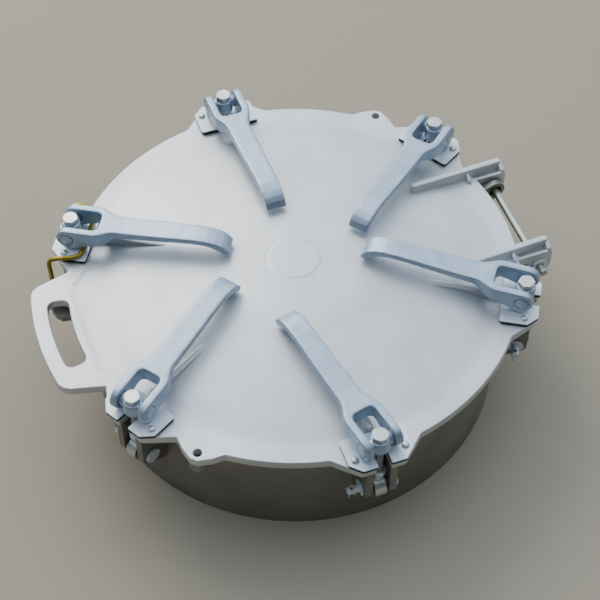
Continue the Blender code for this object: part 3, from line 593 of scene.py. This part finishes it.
# %% A round-backed rib along a straight line
def rib(name, start, end, half, foot_z, back_z, shoulder=0.0042, spread=0.0015):
    """A rib between two points, on a grid. Along it, s runs from end to end and the half
    width is half * sqrt(1 - e * e), where e is how far s is into a round end. Across it, the
    section is a rounded arch |y / w| ** 4 + |z / h| ** 4 = 1, on a foot a little wider."""
    start, end = np.array(start, float), np.array(end, float)
    length = np.linalg.norm(end - start)
    cap = np.sin(np.linspace(0, np.pi / 2, 8))
    s = np.concatenate([half * (1 - cap[::-1]), np.linspace(half, length - half, 14)[1:-1],
                        length - half + half * cap])
    into = np.clip(np.maximum(half - s, s - (length - half)) / half, 0, 1)
    width = half * np.sqrt(1 - into ** 2)
    share = (s / length)[:, None]
    foot = foot_z[0] + (foot_z[1] - foot_z[0]) * share
    back = back_z[0] + (back_z[1] - back_z[0]) * share
    a = np.linspace(0, np.pi, 15)
    arch_y = np.sign(np.cos(a)) * np.abs(np.cos(a)) ** 0.6
    arch_z = np.abs(np.sin(a)) ** 0.6
    y = width[:, None] * arch_y[None]
    z = back - shoulder + shoulder * arch_z[None] * np.sqrt(np.maximum(width[:, None] / half, 0))
    wider = spread * (width[:, None] > 0)
    y = np.concatenate([y[:, :1] + wider, y, y[:, -1:] - wider], 1)
    z = np.concatenate([foot, z, foot], 1)
    along = (end - start) / length
    across = np.array([-along[1], along[0]])
    flat = start + s[:, None, None] * along + y[..., None] * across
    points = np.concatenate([flat, z[..., None]], -1)
    return tidy(mesh_of(name, points.reshape(-1, 3), grid_faces(*points.shape[:2])))


RIB_HALF, RIB_RISE, RIB_IN, RIB_OUT = 0.0047, 0.0134, 0.146, 0.2566
for i, a in enumerate(clamp_deg):
    made = rib(f"lid_rib_{i + 1}", polar(RIB_IN, a), polar(RIB_OUT, a), RIB_HALF,
               (dome_z(RIB_IN) - 0.006, lid_top - 0.004), (lid_top + RIB_RISE,) * 2)
    show(made.name, made, lid_finish, ROOT, "cast_lid", smooth_deg=60)
print("ribs", CLAMPS, "from radius", RIB_IN, "to", RIB_OUT)

# %% Pairs of fine beads that frame the flat beside the handle
BEAD_LINES = (((-0.065, -0.270), (0.065, -0.267)), ((-0.067, -0.265), (-0.082, -0.249)),
              ((-0.082, -0.249), (-0.0945, -0.234)))
BEAD_HALF, BEAD_APART, BEAD_RISE = 0.0007, 0.0036, 0.0006
beads = []
for start, end in BEAD_LINES:
    start, end = np.array(start), np.array(end)
    along = (end - start) / np.linalg.norm(end - start)
    for side in (-0.5, 0.5):
        off = side * BEAD_APART * np.array([-along[1], along[0]])
        heights = [float(dome_z(np.hypot(*(point + off)))) for point in (start, end)]
        beads.append(rib("bead", start + off, end + off, BEAD_HALF, [h - 0.0006 for h in heights],
                         [h + BEAD_RISE for h in heights], BEAD_RISE * 0.9, 0.0004))
beads = together("handle_beads", *beads)
show(beads.name, beads, lid_finish, ROOT, "cast_lid", smooth_deg=70)
print("beads", len(beads.polygons), "faces")

# %% [markdown]
# ## Hinge arms
# Two arms reach over the edge to the hinge rod. Each has a boss round the rod, a shallow
# tray that keeps the wall thin, and a long rib that carries the lid's weight when it is swung
# open. The arm's body is its side outline with a rounded edge, and the tray is cut out.

# %% Cutting one mesh from another
def cut(mesh, tool):
    """Takes one closed mesh out of another with an exact Boolean."""
    body, knife = (bpy.data.objects.new("scratch", m) for m in (mesh, tool))
    for thing in (body, knife):
        bpy.context.scene.collection.objects.link(thing)
    boolean = body.modifiers.new("cut", "BOOLEAN")
    boolean.operation, boolean.solver, boolean.object = "DIFFERENCE", "EXACT", knife
    graph = bpy.context.evaluated_depsgraph_get()
    made = bpy.data.meshes.new_from_object(body.evaluated_get(graph))
    for thing in (body, knife):
        bpy.data.objects.remove(thing)
    return made


ARM_AT, ARM_WIDTH, ARM_BOSS_R, ARM_ROOT = 0.0705, 0.021, 0.0165, 0.018
ARM_RIB_TOP, ARM_RIB_TIP, ARM_RIB_LEAN = (0.0209, 0.0096), 0.1803, 0.0130
ROD_R = (hinge_high.z - hinge_low.z) / 2
root_y, end_y = lid_r - ARM_ROOT, hinge_y + 0.006
boss = np.stack([hinge_y + ARM_BOSS_R * np.cos(np.radians(np.arange(-165, 1, 11))),
                 hinge_z + ARM_BOSS_R * np.sin(np.radians(np.arange(-165, 1, 11)))], -1)
side_line = np.vstack([[(root_y, lid_top + 0.0002), (root_y, lid_top - 0.0115),
                        (lid_r + 0.0005, lid_top - 0.013)], boss,
                       [(hinge_y + ARM_BOSS_R, lid_top - 0.003),
                        (hinge_y + ARM_BOSS_R - 0.003, lid_top + 0.0002)]])
stand = Matrix(((0, 0, 1, 0), (1, 0, 0, 0), (0, 1, 0, 0), (0, 0, 0, 1)))
TRAY_WALL, TRAY_RIM, TRAY_END = 0.0038, 0.004, 0.008  # what the tray leaves at its sides


def lean(y, rib_x):
    """Where the rib's middle line stands at this distance along the arm: rib_x at the rod,
    and further in by a share of the whole lean that grows evenly towards the rib's tip."""
    return rib_x + ARM_RIB_LEAN * (end_y - y) / (end_y - ARM_RIB_TIP)


for side, word in ((-1, "left"), (1, "right")):
    x = side * ARM_AT
    low_x, high_x = x - ARM_WIDTH / 2, x + ARM_WIDTH / 2
    rib_x = low_x + 0.0045
    arm = plate("hinge_arm", side_line, [circle(ROD_R + 0.0004, (hinge_y, hinge_z), 28)],
                low_x, high_x, 0.0018)
    arm.transform(stand)
    near, far = root_y + TRAY_END, hinge_y + ARM_BOSS_R - TRAY_END
    tray_line = rounded_corners(
        [(lean(near, rib_x) + TRAY_RIM, near), (high_x - TRAY_WALL, near),
         (high_x - TRAY_WALL, far), (lean(far, rib_x) + TRAY_RIM, far)], 0.0022)
    tray = plate("tray", tray_line, [], lid_top - 0.005, lid_top + 0.02, 0.0018)
    tip = (lean(ARM_RIB_TIP, rib_x), ARM_RIB_TIP)
    long_rib = rib("rib", tip, (rib_x, hinge_y + ARM_BOSS_R - 0.0018), RIB_HALF,
                   (float(dome_z(math.hypot(*tip))) - 0.006, lid_top - 0.008),
                   [lid_top + rise for rise in ARM_RIB_TOP])
    cross = rib("rib", (lean(root_y, rib_x), root_y), (high_x + 0.0035, root_y), 0.0023,
                (lid_top - 0.004,) * 2, (lid_top + 0.0115, lid_top + 0.0045), 0.0023)
    wall_y = hinge_y + ARM_BOSS_R - 0.0040
    end_wall = rib("rib", (rib_x - 0.001, wall_y), (high_x - 0.0008, wall_y), 0.0035,
                   (lid_top - 0.006,) * 2, (lid_top + 0.0090, lid_top + 0.0022), 0.0040, 0.0)
    made = together(f"hinge_arm_{word}", cut(arm, tray), long_rib, cross, end_wall)
    keep_flat(show(made.name, made, lid_finish, ROOT, "cast_lid", smooth_deg=50))
    print(made.name, len(made.polygons), "faces")

# %% [markdown]
# ## The levers
# A forged lever has no sharp edge, because the hot steel flows round the corners of the
# die. The CAD lever has the right sections but crisp edges. Its copy is remade from small
# cubes and then relaxed, which rounds every edge and leaves the faces nearly where they
# were. All six levers come from one forging, so one is made and then placed six times.

# %% The forged lever
def copy_of(node):
    """A CAD node's mesh with its loose triangles merged."""
    return tidy(nodes[node].data.copy(), outward=False)


VOXEL, RELAXINGS = 0.0010, 26
scratch = bpy.data.objects.new("scratch", copy_of("lever_1"))
bpy.context.scene.collection.objects.link(scratch)
scratch.data.transform(at_lever[0].inverted())
remesh = scratch.modifiers.new("voxels", "REMESH")
remesh.mode, remesh.voxel_size = "VOXEL", VOXEL
relax = scratch.modifiers.new("relax", "SMOOTH")
relax.factor, relax.iterations = 0.5, RELAXINGS
forging = bpy.data.meshes.new_from_object(
    scratch.evaluated_get(bpy.context.evaluated_depsgraph_get()))
bpy.data.objects.remove(scratch)
for i in range(CLAMPS):
    made = forging.copy()
    made.transform(at_lever[i])
    show(f"forged_lever_{i + 1}", made, galvanised, f"lever_{i + 1}", "galvanised",
         f"lever_{i + 1}", smooth_deg=70)
print("lever", len(forging.polygons), "faces")

# %% [markdown]
# ## Trunnions and bolts
# The trunnion is a short round bar across the fork, with a boss in the middle that the bolt
# goes through. The bolt's head is a hexagon with its corners turned off at the top, and the
# thread shows below the trunnion.

# %% A hexagon head: the radius to a flat is a / cos(angle), cut by a cone at the top
HEAD_LOW, HEAD_THICK, ACROSS, BOLT_R, PITCH = 0.0081, 0.0078, 0.0180, 0.0058, 0.00175
angle = np.arange(96) * 2 * np.pi / 96
flat = ACROSS / 2 / np.cos((angle + np.pi / 6) % (np.pi / 3) - np.pi / 6)
rise = np.array([0, 0, 0.0004, HEAD_THICK * 0.55, HEAD_THICK * 0.75, HEAD_THICK * 0.88,
                 HEAD_THICK * 0.96, HEAD_THICK, HEAD_THICK])
cone = ACROSS / 2 * 0.96 + (HEAD_THICK - rise) * 1.7
share = np.array([0, 0.97, 1, 1, 1, 1, 1, 0.985, 0])
radius = np.minimum(flat[None], cone[:, None]) * share[:, None]
head = np.stack([radius * np.cos(angle), radius * np.sin(angle),
                 np.broadcast_to(rise[:, None] + HEAD_LOW, radius.shape)], -1)
head = tidy(mesh_of("head", head.reshape(-1, 3), grid_faces(*radius.shape)))
print("hexagon head", len(head.polygons), "faces")

# %% The threaded shank: the radius follows a triangle wave of height along a helix
bolt_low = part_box("hex_bolt_1")[0].z - trunnion_z
rows = np.arange(0, HEAD_LOW + 0.001 - bolt_low, PITCH / 6)
around = np.arange(36) * 2 * np.pi / 36
phase = (rows[:, None] / PITCH - around[None] / (2 * np.pi)) % 1
depth = 0.0008 * np.abs(2 * phase - 1)
radius = BOLT_R - depth
radius[0] = radius[-1] = 0
shank = np.stack([radius * np.cos(around), radius * np.sin(around),
                  np.broadcast_to(rows[:, None] + bolt_low, radius.shape)], -1)
shank = tidy(mesh_of("shank", shank.reshape(-1, 3), grid_faces(*radius.shape)))
bolt = together("bolt", head, shank)
HEAD_TURNS = (12, 40, 25, 8, 33, 18)  # each bolt stops at its own angle
for i in range(CLAMPS):
    made = bolt.copy()
    made.transform(at_clamp[i] @ Matrix.Translation((0, 0, trunnion_z))
                   @ Matrix.Rotation(math.radians(HEAD_TURNS[i]), 4, "Z"))
    show(f"clamp_bolt_{i + 1}", made, plated_steel, f"rod_{i + 1}", "plated_steel",
         f"hex_bolt_{i + 1}", smooth_deg=25)
print("bolts", CLAMPS, "with", len(bolt.polygons), "faces each")

# %% The trunnion: a bar across the fork and a boss round the bolt
BARREL_R, BARREL_HALF, TRUNNION_BOSS_R, BOSS_BORE_R = 0.008, 0.0245, 0.0118, BOLT_R + 0.0004
across = Matrix.Rotation(math.pi / 2, 4, "X")
ring = [(BOSS_BORE_R, 0.0078), (TRUNNION_BOSS_R - 0.0024, 0.0078),
        (TRUNNION_BOSS_R - 0.0008, 0.0070), (TRUNNION_BOSS_R, 0.0056),
        (TRUNNION_BOSS_R, -0.0100), (TRUNNION_BOSS_R - 0.001, -0.011), (BOSS_BORE_R, -0.011)]
barrel = turned("barrel", rounded_bar(BARREL_R, -BARREL_HALF, BARREL_HALF, 0.0008), 36, across)
trunnion = together("trunnion", barrel, turned("boss", ring, 36, closed=True))
for i in range(CLAMPS):
    made = trunnion.copy()
    made.transform(at_lever[i])
    show(f"trunnion_bar_{i + 1}", made, galvanised, f"swivel_{i + 1}", "galvanised",
         f"trunnion_{i + 1}")
print("trunnions", CLAMPS)

# %% [markdown]
# ## Wear plates, pads and rivets
# The lever's cam would score soft aluminium, so it bears on a zinc-plated steel plate with
# a rubber pad under it. Two round-headed rivets hold both to the lid.

# %% Plates and pads
PLATE_OUT, PLATE_IN, PLATE_HALF, PLATE_CHAMFER = 0.0195, 0.0255, 0.0385, (0.012, 0.0125)
half = [(clamp_r + PLATE_OUT, SLOT_HALF), (clamp_r + PLATE_OUT, PLATE_HALF - PLATE_CHAMFER[1]),
        (clamp_r + PLATE_OUT - PLATE_CHAMFER[0], PLATE_HALF), (clamp_r - PLATE_IN, PLATE_HALF)]
plate_line = np.vstack([half, np.array(half[::-1]) * (1, -1),
                        [(clamp_r - SLOT_DEPTH, -SLOT_HALF), (clamp_r - SLOT_DEPTH, SLOT_HALF)]])
soft = [0.001, 0.003, 0.003, 0.0035]
plate_line = rounded_corners(plate_line, soft + soft[::-1] + [0.002, 0.002])
RIVET_AT, RIVET_R, RIVET_RISE = (0.0035, 0.0305), 0.0046, 0.0026
a = np.linspace(0, np.pi / 2, 7)
rivet_dome = np.stack([RIVET_R * np.cos(a), plate_high + 0.001 + RIVET_RISE * np.sin(a)], -1)
rivet_line = np.vstack([[(0, plate_high - 0.001), (RIVET_R, plate_high - 0.001)], rivet_dome])
for i, degrees in enumerate(clamp_deg):
    n = i + 1
    turn = Matrix.Rotation(math.radians(degrees), 4, "Z")
    for name, finish, slot, low, high, edge in (
            ("wear_plate", bright_zinc, "bright_zinc", plate_low, plate_high, 0.0005),
            ("rubber_pad", rubber, "rubber", pad_low, pad_high, 0.0003)):
        made = plate(f"{name}_skin_{n}", plate_line[::-1], [], low, high, edge)
        made.transform(turn)
        keep_flat(show(made.name, made, finish, ROOT, slot, f"{name}_{n}"))
    rivets = [turned("rivet", rivet_line, 24, turn @ Matrix.Translation(
        (clamp_r + RIVET_AT[0], s * RIVET_AT[1], 0))) for s in (-1, 1)]
    made = together(f"rivets_{n}", *rivets)
    show(made.name, made, plated_steel, ROOT, "plated_steel", smooth_deg=60)
print("plates, pads and rivets at", CLAMPS, "clamps")

# %% [markdown]
# ## The pieces that keep their CAD shape
# The neck, the eye rods, the pins, the washers, the hinge rod and the wires already have
# their real sections. Each gets a merged copy with smooth shading over its round faces, and
# a fine bevel where a turned or cast edge would be broken.

# %% Copies with smooth round faces and broken edges
def dress(node, finish, slot, body, bevel=0.0, segments=2):
    """A CAD node's copy: merged, its flat faces joined up, then bevelled by a little."""
    mesh = copy_of(node)
    shape = bmesh.new()
    shape.from_mesh(mesh)
    bmesh.ops.dissolve_limit(shape, angle_limit=math.radians(0.5), verts=shape.verts,
                             edges=shape.edges)
    shape.to_mesh(mesh)
    shape.free()
    piece = show(f"{node}_skin", mesh, finish, body, slot, node)
    if bevel:
        modifier = piece.modifiers.new("broken edge", "BEVEL")
        modifier.width, modifier.segments = bevel, segments
        modifier.limit_method, modifier.angle_limit = "ANGLE", math.radians(40)
    keep_flat(piece)
    return piece


dress("neck", neck_painted_shade, "cast_neck", ROOT, 0.0006)
dress("lid_gasket", rubber, "rubber", ROOT)
dress("hinge_rod", rod_zinc, "bright_zinc", ROOT, 0.0005)
dress("safety_catch", yellow_chromate, "yellow_chromate", ROOT)
for word in ("left", "right"):
    dress(f"hinge_washer_{word}", bright_zinc, "bright_zinc", ROOT, 0.0003)
    dress(f"hinge_split_pin_{word}", plated_steel, "plated_steel", ROOT)
for n in range(1, CLAMPS + 1):
    dress(f"eye_rod_{n}", plated_steel, "plated_steel", f"rod_{n}", 0.0008)
    dress(f"pivot_pin_{n}", bright_zinc, "bright_zinc", ROOT, 0.0004)
    dress(f"split_pin_{n}", plated_steel, "plated_steel", ROOT)
print("dressed", 5 + 4 + 3 * CLAMPS, "CAD nodes")

# %% Washers inside the split pins, and the rings at the top of each eye rod
WASHER_BORE_R, WASHER_R, WASHER_THICK, WASHER_GAP = 0.0051, 0.0100, 0.0016, 0.0004
LUG_OUTSIDE = 0.0195  # from the middle of a clamp to the outer face of a lug
EYE_ROD_R, RING_ROOT, RING_OUT = 0.0080, 0.0012, 0.0022  # a ring's root and crest stand out
RINGS, RINGS_LOW, RINGS_HIGH, RING_STEP = 3, -0.0088, -0.0008, 0.0028
eye_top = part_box("eye_rod_1")[1].z
washer = turned("washer", [(WASHER_BORE_R, 0), (WASHER_R, 0), (WASHER_R, WASHER_THICK),
                           (WASHER_BORE_R, WASHER_THICK)], 32, closed=True)
washer.transform(Matrix.Rotation(math.pi / 2, 4, "X"))
ring_line = [(EYE_ROD_R - 0.0006, RINGS_LOW)]
for step in range(RINGS):
    foot = RINGS_LOW + step * RING_STEP
    ring_line += [(EYE_ROD_R + RING_ROOT, foot), (EYE_ROD_R + RING_OUT, foot + 0.0006),
                  (EYE_ROD_R + RING_OUT, foot + 0.0018), (EYE_ROD_R + RING_ROOT, foot + 0.0024)]
rings = turned("rings", ring_line + [(EYE_ROD_R - 0.0006, RINGS_HIGH)], 40, closed=True)
for i in range(CLAMPS):
    pin_place = at_clamp[i] @ Matrix.Translation((0, -LUG_OUTSIDE - WASHER_GAP, pin_z))
    piece = washer.copy()
    piece.transform(pin_place)
    show(f"pin_washer_{i + 1}", piece, bright_zinc, ROOT, "bright_zinc", smooth_deg=30)
    piece = rings.copy()
    piece.transform(at_clamp[i] @ Matrix.Translation((0, 0, eye_top)))
    show(f"rod_rings_{i + 1}", piece, plated_steel, f"rod_{i + 1}", "plated_steel", smooth_deg=50)

# %% [markdown]
# ## The size of the finished cover
# The finishing pieces must not make the cover bigger than its CAD model. The box round
# every shown piece is worked out here.

# %% The box of the shown pieces
low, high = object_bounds()
